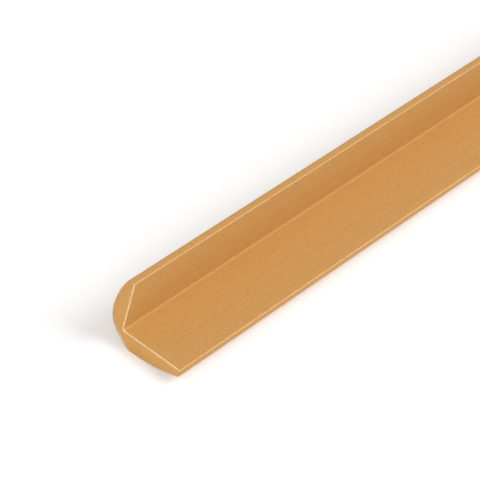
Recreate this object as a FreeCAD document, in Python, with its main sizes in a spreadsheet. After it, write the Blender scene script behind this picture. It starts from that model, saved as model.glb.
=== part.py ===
"""PVC angle trim: a metre of solid extruded corner moulding, both ends cut square.

The section is an L. Its two inner faces are flat and meet at a right angle, so that they
sit on the two sides of a corner. Each outer face is crowned: thickest a little way out
from the heel, and thin at the tip. A flat cuts the heel off, between the two crowns.

Frame: the long axis is X, and the trim lies on the crown of its wide leg, whose inner
face is level. The wide leg points along -Y, and the narrow leg stands up along +Z at the
+Y side. The origin is at the middle of the length and of the width, on the floor.
"""
import FreeCAD, Part
import os
import Sketcher

SIZES = (  # alias, value in mm, what it is
    ("trim_length", 1000.0, "length of the cut piece"),
    ("wide_inner", 16.0, "wide leg, inner corner to tip"),
    ("wide_crown", 4.0, "thickness of the wide leg at its crown"),
    ("wide_crown_at", 2.8, "inner corner to the crown line of the wide leg"),
    ("wide_heel_curve", 2.2, "radius from that crown to the heel flat"),
    ("wide_tip", 1.7, "thickness of the wide leg at its tip"),
    ("narrow_inner", 13.0, "narrow leg, inner corner to tip"),
    ("narrow_crown", 3.75, "thickness of the narrow leg at its crown"),
    ("narrow_crown_at", 4.5, "inner corner to the crown line of the narrow leg"),
    ("narrow_heel_curve", 9.2, "radius from that crown to the heel flat"),
    ("narrow_tip", 1.6, "thickness of the narrow leg at its tip"),
    ("wide_flat_at", 1.75, "inner corner to the heel flat's start, along the wide leg"),
    ("narrow_flat_at", 1.2, "wide leg's inner face down to the heel flat's end"),
    ("tip_round", 0.4, "radius along the four tip edges"),
    ("heel_round", 0.8, "radius where the heel flat meets the narrow leg's curve"),
    ("corner_round", 0.3, "radius in the inner corner"),
)

# Lines and arcs of the section, in drawing order, and the ends and centre of each.
WIDE_FACE, WIDE_TIP, WIDE_OUTER, WIDE_HEEL, HEEL_FLAT = range(5)
NARROW_HEEL, NARROW_OUTER, NARROW_TIP, NARROW_FACE = range(5, 9)
START, END, CENTRE = 1, 2, 3
ORIGIN = (-1, 1)


def make_sheet(doc):
    """The driving sizes, one aliased cell each."""
    sheet = doc.addObject("Spreadsheet::Sheet", "Sizes")
    for row, (alias, value, meaning) in enumerate(SIZES, start=1):
        sheet.set(f"A{row}", alias)
        sheet.set(f"B{row}", str(value))
        sheet.set(f"C{row}", meaning)
        sheet.setAlias(f"B{row}", alias)
    doc.recompute()
    return sheet


def line(start, end):
    return Part.LineSegment(FreeCAD.Vector(*start, 0), FreeCAD.Vector(*end, 0))


def arc(start, middle, end):
    return Part.Arc(*(FreeCAD.Vector(*point, 0) for point in (start, middle, end)))


def draw_outline(sketch):
    """A first drawing of the section. The constraints then give it its exact sizes."""
    wide_tip, wide_edge, wide_top = (-16, 0), (-16, -1.7), (-2.8, -4)
    narrow_tip, narrow_edge, narrow_top = (0, 13), (1.6, 13), (3.75, 4.5)
    flat_low, flat_high = (-1.75, -3.7), (1.75, -1.2)
    outline = [
        line((0, 0), wide_tip),
        line(wide_tip, wide_edge),
        arc(wide_edge, (-9, -3.5), wide_top),
        arc(wide_top, (-2.2, -3.9), flat_low),
        line(flat_low, flat_high),
        arc(flat_high, (3.2, 1.5), narrow_top),
        arc(narrow_top, (3.2, 9), narrow_edge),
        line(narrow_edge, narrow_tip),
        line(narrow_tip, (0, 0)),
    ]
    sketch.addGeometry(outline, False)
    for first in range(len(outline)):
        second = (first + 1) % len(outline)
        sketch.addConstraint(Sketcher.Constraint("Coincident", first, END, second, START))


def bind(sketch, size, kind, *where):
    """Adds one dimension and ties it to the sheet's size of that name."""
    values = {alias: value for alias, value, _ in SIZES}
    index = sketch.addConstraint(Sketcher.Constraint(kind, *where, values[size]))
    sketch.renameConstraint(index, size)
    sketch.setExpression(f"Constraints.{size}", f"Sizes.{size} * 1 mm")


def draw_section(body):
    """The L section, on the YZ plane, with its inner corner at the plane's origin."""
    sketch = body.newObject("Sketcher::SketchObject", "Section")
    planes = {plane.Role: plane for plane in body.Origin.OriginFeatures}
    sketch.AttachmentSupport = (planes["YZ_Plane"], [""])
    sketch.MapMode = "FlatFace"
    draw_outline(sketch)

    def relate(kind, *where):
        sketch.addConstraint(Sketcher.Constraint(kind, *where))

    relate("Coincident", WIDE_FACE, START, *ORIGIN)
    relate("Horizontal", WIDE_FACE)
    relate("Vertical", WIDE_TIP)
    relate("Horizontal", NARROW_TIP)
    relate("Vertical", NARROW_FACE)
    for curve, crown in ((WIDE_OUTER, END), (WIDE_HEEL, START)):
        relate("Vertical", curve, CENTRE, curve, crown)
    for curve, crown in ((NARROW_HEEL, END), (NARROW_OUTER, START)):
        relate("Horizontal", curve, CENTRE, curve, crown)

    bind(sketch, "wide_inner", "DistanceX", WIDE_FACE, END, *ORIGIN)
    bind(sketch, "wide_tip", "DistanceY", WIDE_TIP, END, WIDE_TIP, START)
    bind(sketch, "wide_crown_at", "DistanceX", WIDE_OUTER, END, *ORIGIN)
    bind(sketch, "wide_crown", "DistanceY", WIDE_OUTER, END, *ORIGIN)
    bind(sketch, "wide_heel_curve", "Radius", WIDE_HEEL)
    bind(sketch, "narrow_inner", "DistanceY", *ORIGIN, NARROW_FACE, START)
    bind(sketch, "narrow_tip", "DistanceX", NARROW_TIP, END, NARROW_TIP, START)
    bind(sketch, "narrow_crown_at", "DistanceY", *ORIGIN, NARROW_OUTER, START)
    bind(sketch, "narrow_crown", "DistanceX", *ORIGIN, NARROW_OUTER, START)
    bind(sketch, "narrow_heel_curve", "Radius", NARROW_HEEL)
    bind(sketch, "wide_flat_at", "DistanceX", HEEL_FLAT, START, *ORIGIN)
    bind(sketch, "narrow_flat_at", "DistanceY", HEEL_FLAT, END, *ORIGIN)
    return sketch


def long_edges(shape, points):
    """Names of the edges that run the whole length through the given (y, z) points."""
    names = []
    for y, z in points:
        distances = []
        for number, edge in enumerate(shape.Edges, start=1):
            middle = edge.BoundBox.Center
            if edge.BoundBox.XLength > edge.BoundBox.DiagonalLength * 0.999:
                distances.append((FreeCAD.Vector(0, middle.y - y, middle.z - z).Length, number))
        names.append(f"Edge{min(distances)[1]}")
    return names


def corners(sketch, ends):
    """The (y, z) places of some ends of the section's lines."""
    places = [sketch.getPoint(geometry, end) for geometry, end in ends]
    return [(place.x, place.y) for place in places]


def round_edges(doc, body, base, name, size, points):
    """Rounds the long edges through the given points to one of the sheet's radii."""
    fillet = body.newObject("PartDesign::Fillet", name)
    fillet.Base = (base, long_edges(base.Shape, points))
    fillet.setExpression("Radius", f"Sizes.{size} * 1 mm")
    doc.recompute()
    return fillet


def make_trim(doc):
    """The whole trim: one section, extruded both ways from the middle, edges rounded."""
    body = doc.addObject("PartDesign::Body", "AngleTrim")
    body.Label = "angle_trim"
    sketch = draw_section(body)
    doc.recompute()

    pad = body.newObject("PartDesign::Pad", "Extrusion")
    pad.Profile = sketch
    pad.setExpression("Length", "Sizes.trim_length * 1 mm")
    pad.Midplane = True
    doc.recompute()

    tips = ((WIDE_FACE, END), (WIDE_TIP, END), (NARROW_TIP, START), (NARROW_TIP, END))
    heel = ((HEEL_FLAT, END),)
    solid = round_edges(doc, body, pad, "TipRounds", "tip_round", corners(sketch, tips))
    solid = round_edges(doc, body, solid, "HeelRound", "heel_round", corners(sketch, heel))
    round_edges(doc, body, solid, "CornerRound", "corner_round", [(0, 0)])

    body.setExpression("Placement.Base.y", "(Sizes.wide_inner - Sizes.narrow_crown) / 2 * 1 mm")
    body.setExpression("Placement.Base.z", "Sizes.wide_crown * 1 mm")
    doc.recompute()
    return body


def check(doc, bodies):
    """Stops before anything is written if a feature failed or a shape is bad."""
    for thing in doc.Objects:
        if {"Invalid", "Error"} & set(thing.State):
            raise RuntimeError(f"{thing.Name} failed: {thing.State}")
    for body in bodies:
        if body.Shape.isNull() or not body.Shape.isValid() or len(body.Shape.Solids) != 1:
            raise RuntimeError(f"{body.Label} is not one valid solid")


def main():
    doc = FreeCAD.newDocument("pvc_angle_trim")
    make_sheet(doc)
    bodies = [make_trim(doc)]
    check(doc, bodies)
    os.makedirs("parts", exist_ok=True)
    for body in bodies:
        body.Shape.exportStep(f"parts/{body.Label}.step")
        box = body.Shape.BoundBox
        print(body.Label, "box", [round(v, 3) for v in (box.XMin, box.YMin, box.ZMin)],
              [round(v, 3) for v in (box.XMax, box.YMax, box.ZMax)],
              "volume", round(body.Shape.Volume, 1))


main()
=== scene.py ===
"""A metre of tan PVC corner trim, lying on the crown of its wide leg on a white table."""
import math
import random

import bmesh
import bpy
from mathutils import Matrix, Vector


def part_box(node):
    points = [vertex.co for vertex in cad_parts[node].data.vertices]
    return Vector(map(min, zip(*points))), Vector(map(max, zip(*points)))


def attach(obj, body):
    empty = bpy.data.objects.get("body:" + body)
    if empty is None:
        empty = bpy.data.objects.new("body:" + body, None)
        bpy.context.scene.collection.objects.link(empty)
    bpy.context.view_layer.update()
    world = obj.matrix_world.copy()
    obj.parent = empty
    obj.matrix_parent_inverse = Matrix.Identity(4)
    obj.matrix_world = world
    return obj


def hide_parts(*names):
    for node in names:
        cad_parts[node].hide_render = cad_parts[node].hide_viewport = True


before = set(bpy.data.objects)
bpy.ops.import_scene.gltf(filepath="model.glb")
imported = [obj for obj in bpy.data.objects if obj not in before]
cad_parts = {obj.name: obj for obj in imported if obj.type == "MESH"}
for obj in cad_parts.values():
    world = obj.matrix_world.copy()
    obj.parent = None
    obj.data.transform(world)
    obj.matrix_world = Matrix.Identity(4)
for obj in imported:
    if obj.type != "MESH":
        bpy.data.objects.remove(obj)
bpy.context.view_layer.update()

MM = 0.001
NODE = "angle_trim"

# The section, in millimetres from the inner corner. The overall sizes come from the frame.
WIDE_INNER = 16.0
WIDE_CROWN = 4.0
WIDE_CROWN_AT = 2.8
WIDE_HEEL_CURVE = 2.2
WIDE_TIP = 1.7
NARROW_INNER = 13.0
NARROW_CROWN = 3.75
NARROW_CROWN_AT = 4.5
NARROW_HEEL_CURVE = 9.2
NARROW_TIP = 1.6
WIDE_FLAT_AT = 1.75
NARROW_FLAT_AT = 1.2
TIP_ROUND = 0.4
HEEL_ROUND = 0.8
CORNER_ROUND = 0.5
WIDE_TURN = math.asin((WIDE_CROWN_AT - WIDE_FLAT_AT) / WIDE_HEEL_CURVE)
NARROW_TURN = math.asin((NARROW_CROWN_AT + NARROW_FLAT_AT) / NARROW_HEEL_CURVE)
FLAT_START_Z = WIDE_HEEL_CURVE * (1 - math.cos(WIDE_TURN)) - WIDE_CROWN
FLAT_END_Y = NARROW_CROWN - NARROW_HEEL_CURVE * (1 - math.cos(NARROW_TURN))

# The end's edges are broken: broadly along the inner faces, where the bevel is painted pale as a
# highlight, and finely elsewhere.
EDGE_HIGHLIGHT_BEVEL = 0.22
SOFT_EDGE = 0.07
ROUND_THE_TIP = 0.12
EDGE_WAVER = 0.035
EDGE_NICK = 0.11
NICKS = 0.08
# A stroke of the deburring blade takes the heel's corner off each end.
HEEL_STROKE = 0.7
STROKE_SLOPE = math.radians(51)
STROKE_TILT = math.radians(19)
# Width of the lip inside the cut, painted pale as a highlight.
STROKE_LIP = 0.22
EDGE_CUTS = 70
SEED = 11

# Two places closer than this are the same place.
SAME_PLACE = 1e-4
# Faces that meet at more than this keep a crisp edge between them.
CRISP_ANGLE = math.radians(28)
# Where on a tip's rounding the painted highlight line lies, turned from the inner face.
RIDGE_HIGHLIGHT_TURN = math.radians(27)

# The trim's material slots, in order.
EXTRUDED = 0
# The pale material paints highlights onto the trim's edges.
PAINTED_HIGHLIGHT = 1


def linear(code):
    """An sRGB hex colour as linear RGBA."""
    channels = [int(code[i:i + 2], 16) / 255 for i in (1, 3, 5)]
    return tuple(c / 12.92 if c <= 0.04045 else ((c + 0.055) / 1.055) ** 2.4 for c in channels) + (1.0,)


# ---- the trim ----

def line_to(bm, vert, y, z):
    """Draws a straight stretch of the section from vert, and returns its far end."""
    new = bmesh.ops.extrude_vert_indiv(bm, verts=[vert])["verts"][0]
    new.co = Vector((vert.co.x, y, z))
    return new


def arc_about(bm, vert, y, z, angle, steps):
    """Draws an arc of the section from vert about the point (y, z), and returns its far end."""
    spun = bmesh.ops.spin(bm, geom=[vert], cent=(vert.co.x, y, z), axis=(1, 0, 0), dvec=(0, 0, 0),
                          angle=angle, steps=steps, use_duplicate=False)
    return next(item for item in spun["geom_last"] if isinstance(item, bmesh.types.BMVert))


def crown_radius(run, drop):
    """Radius of an arc that is level at the crown and drops by that much over that run."""
    return (run ** 2 + drop ** 2) / (2 * drop)


def draw_section(bm, x):
    """The closed outline in millimetres, at one end, with the inner corner at y = z = 0."""
    wide_run = WIDE_INNER - WIDE_CROWN_AT
    wide_curve = crown_radius(wide_run, WIDE_CROWN - WIDE_TIP)
    narrow_run = NARROW_INNER - NARROW_CROWN_AT
    narrow_curve = crown_radius(narrow_run, NARROW_CROWN - NARROW_TIP)

    corner = bm.verts.new((x, 0, 0))
    pen = line_to(bm, corner, -WIDE_INNER, 0)
    pen = line_to(bm, pen, -WIDE_INNER, -WIDE_TIP)
    pen = arc_about(bm, pen, -WIDE_CROWN_AT, wide_curve - WIDE_CROWN,
                    math.asin(wide_run / wide_curve), 28)
    pen = arc_about(bm, pen, -WIDE_CROWN_AT, WIDE_HEEL_CURVE - WIDE_CROWN, WIDE_TURN, 6)
    pen = line_to(bm, pen, FLAT_END_Y, -NARROW_FLAT_AT)
    pen = arc_about(bm, pen, NARROW_CROWN - NARROW_HEEL_CURVE, NARROW_CROWN_AT,
                    NARROW_TURN, 16)
    pen = arc_about(bm, pen, NARROW_CROWN - narrow_curve, NARROW_CROWN_AT,
                    math.asin(narrow_run / narrow_curve), 22)
    pen = line_to(bm, pen, 0, NARROW_INNER)
    bm.edges.new((pen, corner))


def long_edges(bm, places):
    """The edges that run the length through the given (y, z) places."""
    runs = [e for e in bm.edges if abs(e.verts[0].co.x - e.verts[1].co.x) > 1]
    return [min(runs, key=lambda e: (e.verts[0].co.yz - Vector(place)).length) for place in places]


def round_off(bm, edges, size, segments, material=-1):
    """Rounds edges off by that size. The new faces keep their neighbours' material unless one is given."""
    return bmesh.ops.bevel(bm, geom=edges, offset=size, offset_type="OFFSET", segments=segments,
                           profile=0.5, affect="EDGES", clamp_overlap=False, material=material)


def lies_at(edge, x):
    """True for an edge that lies wholly in the plane of the end at x."""
    return all(abs(v.co.x - x) < SAME_PLACE for v in edge.verts)


def end_edges(bm, x, keep):
    """The edges round one end face whose middle passes the test keep(y, z)."""
    found = []
    for edge in bm.edges:
        if lies_at(edge, x):
            middle = (edge.verts[0].co + edge.verts[1].co) / 2
            if keep(middle.y, middle.z):
                found.append(edge)
    return found


def on_inner_face(y, z):
    """True for a place on the two inner faces or in the rounded corner between them."""
    on_wide = abs(z) < ROUND_THE_TIP and y < 0
    on_narrow = abs(y) < ROUND_THE_TIP and z > 0
    in_corner = -CORNER_ROUND < y <= 0 and 0 <= z < CORNER_ROUND
    return on_wide or on_narrow or in_corner


def slice_strip(bm, x, start, end):
    """Cuts the painted highlight strip at one end into short lengths between two (y, z) places."""
    start, end = Vector((x, *start)), Vector((x, *end))
    for step in range(1, EDGE_CUTS):
        # Within 1 mm of the end, and above the heel's painted highlight lip.
        strip = [f for f in bm.faces if f.material_index == PAINTED_HIGHLIGHT
                 and abs(f.calc_center_median().x - x) < 1 and f.calc_center_median().z > -1]
        geometry = {*strip, *(e for f in strip for e in f.edges), *(v for f in strip for v in f.verts)}
        bmesh.ops.bisect_plane(bm, geom=list(geometry), plane_co=start.lerp(end, step / EDGE_CUTS),
                               plane_no=(end - start).normalized())


def dress_heel(bm, x):
    """Takes the heel's corner off one end with a flat cut, and paints a pale highlight lip inside it."""
    across = Vector((0, math.cos(STROKE_SLOPE), -math.sin(STROKE_SLOPE)))
    deepest = Vector((x, FLAT_END_Y, -NARROW_FLAT_AT)) - HEEL_STROKE * across
    outward = Vector((math.copysign(1, x), 0, 0))
    away = outward * math.cos(STROKE_TILT) + across * math.sin(STROKE_TILT)
    cut = bmesh.ops.bisect_plane(bm, geom=[*bm.verts, *bm.edges, *bm.faces], plane_co=deepest,
                                 plane_no=away, clear_outer=True)
    rim = [item for item in cut["geom_cut"] if isinstance(item, bmesh.types.BMEdge)]
    bmesh.ops.contextual_create(bm, geom=rim)
    lip = [e for e in rim if lies_at(e, x)]
    # The lip is painted pale, as the highlight on the cut's inner edge.
    round_off(bm, lip, STROKE_LIP, 2, material=PAINTED_HIGHLIGHT)


def roughen_end_and_paint_highlight(bm, x, rng):
    """Breaks the edges of one cut end, paints the broad ones along the inner faces pale as a highlight,
    and roughens them.
    """
    dress_heel(bm, x)
    # The broad bevel along the inner faces is painted pale, as a highlight.
    round_off(bm, end_edges(bm, x, on_inner_face), EDGE_HIGHLIGHT_BEVEL, 2, material=PAINTED_HIGHLIGHT)
    fine = [e for e in end_edges(bm, x, lambda y, z: not on_inner_face(y, z))
            if all(f.material_index == EXTRUDED for f in e.link_faces)]
    round_off(bm, fine, SOFT_EDGE, 2)
    slice_strip(bm, x, (-CORNER_ROUND, 0), (TIP_ROUND - WIDE_INNER, 0))
    slice_strip(bm, x, (0, CORNER_ROUND), (0, NARROW_INNER - TIP_ROUND))
    # Only the strip's middle line wavers, so that its two borders stay joined to their faces.
    middle = [v for v in bm.verts if 0.02 < abs(v.co.x - x) < EDGE_HIGHLIGHT_BEVEL - 0.02
              and -EDGE_HIGHLIGHT_BEVEL < min(-v.co.y, v.co.z) < EDGE_HIGHLIGHT_BEVEL]
    for vert in sorted(middle, key=lambda v: (round(v.co.y, 4), round(v.co.z, 4))):
        reach = EDGE_NICK if rng.random() < NICKS else EDGE_WAVER
        vert.co += reach * Vector((rng.uniform(-1, 1), rng.uniform(-1, 1), rng.uniform(-1, 1)))


def paint_ridge_highlights(bm):
    """A fine pale line painted along the inner ridge of each tip, as its highlight."""
    across = TIP_ROUND * (1 - math.sin(RIDGE_HIGHLIGHT_TURN))
    along = TIP_ROUND * (1 - math.cos(RIDGE_HIGHLIGHT_TURN))
    runs = [f for f in bm.faces if len(f.verts) == 4 and f.calc_area() > 10]
    for place in ((across - WIDE_INNER, -along), (along, NARROW_INNER - across)):
        ridge = min(runs, key=lambda f: (f.calc_center_median().yz - Vector(place)).length)
        # The ridge face takes the pale material as a painted highlight.
        ridge.material_index = PAINTED_HIGHLIGHT


def make_trim(length, corner):
    """The whole trim as one mesh, in metres, with its inner corner where the frame has it."""
    half = length / 2
    bm = bmesh.new()
    draw_section(bm, -half)
    face = bmesh.ops.contextual_create(bm, geom=bm.edges[:])["faces"][0]
    body = bmesh.ops.extrude_face_region(bm, geom=[face], use_keep_orig=True)["geom"]
    far = [item for item in body if isinstance(item, bmesh.types.BMVert)]
    bmesh.ops.translate(bm, verts=far, vec=(length, 0, 0))
    bmesh.ops.recalc_face_normals(bm, faces=bm.faces[:])

    tips = [(-WIDE_INNER, 0), (-WIDE_INNER, -WIDE_TIP), (0, NARROW_INNER), (NARROW_TIP, NARROW_INNER)]
    round_off(bm, long_edges(bm, tips), TIP_ROUND, 5)
    flat_slope = math.atan2(-NARROW_FLAT_AT - FLAT_START_Z, FLAT_END_Y + WIDE_FLAT_AT)
    half_turn = (math.pi / 2 - NARROW_TURN - flat_slope) / 2
    heel = long_edges(bm, [(FLAT_END_Y, -NARROW_FLAT_AT)])
    round_off(bm, heel, HEEL_ROUND * math.tan(half_turn), 3)
    round_off(bm, long_edges(bm, [(0, 0)]), CORNER_ROUND, 8)

    rng = random.Random(SEED)
    for x in (-half, half):
        roughen_end_and_paint_highlight(bm, x, rng)
    paint_ridge_highlights(bm)
    bmesh.ops.scale(bm, vec=(MM, MM, MM), verts=bm.verts[:])
    bmesh.ops.translate(bm, vec=corner, verts=bm.verts[:])

    mesh = bpy.data.meshes.new("trim")
    bm.to_mesh(mesh)
    bm.free()
    mesh.shade_smooth()
    mesh.set_sharp_from_angle(angle=CRISP_ANGLE)
    trim = bpy.data.objects.new("trim", mesh)
    bpy.context.collection.objects.link(trim)
    return trim


# ---- materials ----

PVC_DARK = "#C58F49"
PVC_LIGHT = "#D09A53"
PVC_IOR = 1.53


def add_node(tree, kind, inputs=None, **settings):
    """Adds a node. Each input, by name or number, takes a node, a socket or a plain value."""
    node = tree.nodes.new(kind)
    for name, value in settings.items():
        setattr(node, name, value)
    for name, value in (inputs or {}).items():
        if isinstance(value, bpy.types.Node):
            value = value.outputs[0]
        if isinstance(value, bpy.types.NodeSocket):
            tree.links.new(value, node.inputs[name])
        else:
            node.inputs[name].default_value = value
    return node


def extruded_pvc():
    """Rigid PVC, tan right through, satin as it leaves the die: a broad soft sheen,
    a very fine grain, and faint streaks along the length."""
    material = bpy.data.materials.new("extruded_pvc")
    material.use_nodes = True
    tree = material.node_tree
    shader = tree.nodes["Principled BSDF"]
    shader.inputs["IOR"].default_value = PVC_IOR
    shader.inputs["Roughness"].default_value = 0.6
    place = add_node(tree, "ShaderNodeTexCoord").outputs["Object"]
    # The real grain is under 0.1 mm. It is drawn at a third of a millimetre, so that it shows.
    grain = add_node(tree, "ShaderNodeTexNoise", {"Vector": place, "Scale": 1 / (0.35 * MM)})
    # The die's streaks are about 2 mm wide and 80 mm long.
    along = add_node(tree, "ShaderNodeMapping", {"Vector": place, "Scale": (1 / 40, 1.0, 1.0)})
    streaks = add_node(tree, "ShaderNodeTexNoise",
                       {"Vector": along, "Scale": 1 / (2.0 * MM), "Detail": 1.0})
    mottle = add_node(tree, "ShaderNodeMix", {0: 0.15, 2: grain, 3: streaks}, data_type="FLOAT")
    shade = add_node(tree, "ShaderNodeValToRGB", {"Fac": mottle})
    dark, light = shade.color_ramp.elements
    dark.position, dark.color = 0.36, linear(PVC_DARK)
    light.position, light.color = 0.64, linear(PVC_LIGHT)
    tree.links.new(shade.outputs["Color"], shader.inputs["Base Color"])
    bump = add_node(tree, "ShaderNodeBump", {"Height": grain, "Strength": 0.15, "Distance": 0.02 * MM})
    tree.links.new(bump.outputs["Normal"], shader.inputs["Normal"])
    return material


def highlight_pvc():
    """The same PVC painted paler, as a highlight, where the end's edges, the heel's lip and the tips'
    inner ridges catch the light:
    duller, with a coarse broken grain."""
    material = bpy.data.materials.new("highlight_pvc")
    material.use_nodes = True
    tree = material.node_tree
    shader = tree.nodes["Principled BSDF"]
    shader.inputs["IOR"].default_value = PVC_IOR
    shader.inputs["Roughness"].default_value = 0.65
    place = add_node(tree, "ShaderNodeTexCoord").outputs["Object"]
    # Painted highlight mottled in bits about half a millimetre long.
    torn = add_node(tree, "ShaderNodeTexNoise", {"Vector": place, "Scale": 1 / (0.5 * MM)})
    shade = add_node(tree, "ShaderNodeValToRGB", {"Fac": torn})
    dark, light = shade.color_ramp.elements
    dark.position, dark.color = 0.35, linear("#E2B680")
    light.position, light.color = 0.6, linear("#F6D3A6")
    tree.links.new(shade.outputs["Color"], shader.inputs["Base Color"])
    return material


def seen_by_eye(tree):
    """1 for what is seen directly, in a reflection or through glass, and 0 for light on things."""
    path = add_node(tree, "ShaderNodeLightPath")
    direct = add_node(tree, "ShaderNodeMath", {0: path.outputs["Is Camera Ray"],
                                               1: path.outputs["Is Glossy Ray"]}, operation="MAXIMUM")
    return add_node(tree, "ShaderNodeMath", {0: direct, 1: path.outputs["Is Transmission Ray"]},
                    operation="MAXIMUM")


def white_table():
    """Matt white laminate, seen a little brighter than its light, as a lit backdrop is."""
    material = bpy.data.materials.new("white_table")
    material.use_nodes = True
    tree = material.node_tree
    tree.nodes.remove(tree.nodes["Principled BSDF"])
    matt = add_node(tree, "ShaderNodeBsdfDiffuse", {"Color": linear("#F4F4F4")})
    lift = add_node(tree, "ShaderNodeMath", {0: seen_by_eye(tree), 1: TABLE_LIFT}, operation="MULTIPLY")
    glow = add_node(tree, "ShaderNodeEmission", {"Strength": lift})
    both = add_node(tree, "ShaderNodeAddShader", {0: matt, 1: glow})
    tree.links.new(both.outputs[0], tree.nodes["Material Output"].inputs["Surface"])
    return material


# ---- table, light and camera ----

TABLE_LIFT = 0.22
TABLE_SIZE = 30.0
ROOM_LIGHT = 0.42


def lay_table():
    bm = bmesh.new()
    bmesh.ops.create_grid(bm, x_segments=1, y_segments=1, size=TABLE_SIZE / 2)
    mesh = bpy.data.meshes.new("table")
    bm.to_mesh(mesh)
    bm.free()
    table = bpy.data.objects.new("table", mesh)
    table.data.materials.append(white_table())
    bpy.context.collection.objects.link(table)


def add_light(name, toward, strength, spread):
    """A soft light from far off, shining from the direction toward, spread degrees across."""
    lamp = bpy.data.lights.new(name, "SUN")
    lamp.energy = strength
    lamp.angle = math.radians(spread)
    light = bpy.data.objects.new(name, lamp)
    light.rotation_euler = Vector(toward).to_track_quat("Z", "Y").to_euler()
    bpy.context.collection.objects.link(light)


def light_studio():
    add_light("top_light", (0.45, -0.50, 0.74), 1.32, 38)
    add_light("front_light", (-0.88, -0.22, 0.44), 1.50, 50)
    world = bpy.data.worlds.new("studio")
    bpy.context.scene.world = world
    world.use_nodes = True
    tree = world.node_tree
    room = tree.nodes["Background"]
    room.inputs["Color"].default_value = (1.0, 1.0, 1.0, 1.0)
    strength = add_node(tree, "ShaderNodeMapRange", {"Value": seen_by_eye(tree), "To Min": ROOM_LIGHT,
                                                     "To Max": 1.0})
    tree.links.new(strength.outputs[0], room.inputs["Strength"])


AIM = Vector((-452.32, 10.88, 0.83)) * MM
DISTANCE = 694.9 * MM
AZIMUTH = 28.350
ELEVATION = 38.479
ROLL = 16.034
LENS = 234.66


def place_camera():
    lens = bpy.data.cameras.new("camera")
    lens.sensor_width = 36.0
    lens.lens = LENS
    lens.clip_start = 0.01
    lens.clip_end = 100.0
    camera = bpy.data.objects.new("camera", lens)
    around, up = math.radians(AZIMUTH), math.radians(ELEVATION)
    looking = Vector((math.cos(around) * math.cos(up), math.sin(around) * math.cos(up), -math.sin(up)))
    facing = looking.to_track_quat("-Z", "Y").to_matrix() @ Matrix.Rotation(math.radians(ROLL), 3, "Z")
    camera.matrix_world = Matrix.Translation(AIM - looking * DISTANCE) @ facing.to_4x4()
    bpy.context.collection.objects.link(camera)
    bpy.context.scene.camera = camera


low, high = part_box(NODE)
inner_corner = Vector((0, high.y - NARROW_CROWN * MM, low.z + WIDE_CROWN * MM))
trim = make_trim((high.x - low.x) / MM, inner_corner)
trim.data.materials.append(extruded_pvc())
trim.data.materials.append(highlight_pvc())
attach(trim, "root")
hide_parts(NODE)
lay_table()
light_studio()
place_camera()
bpy.context.scene.view_settings.view_transform = "Standard"
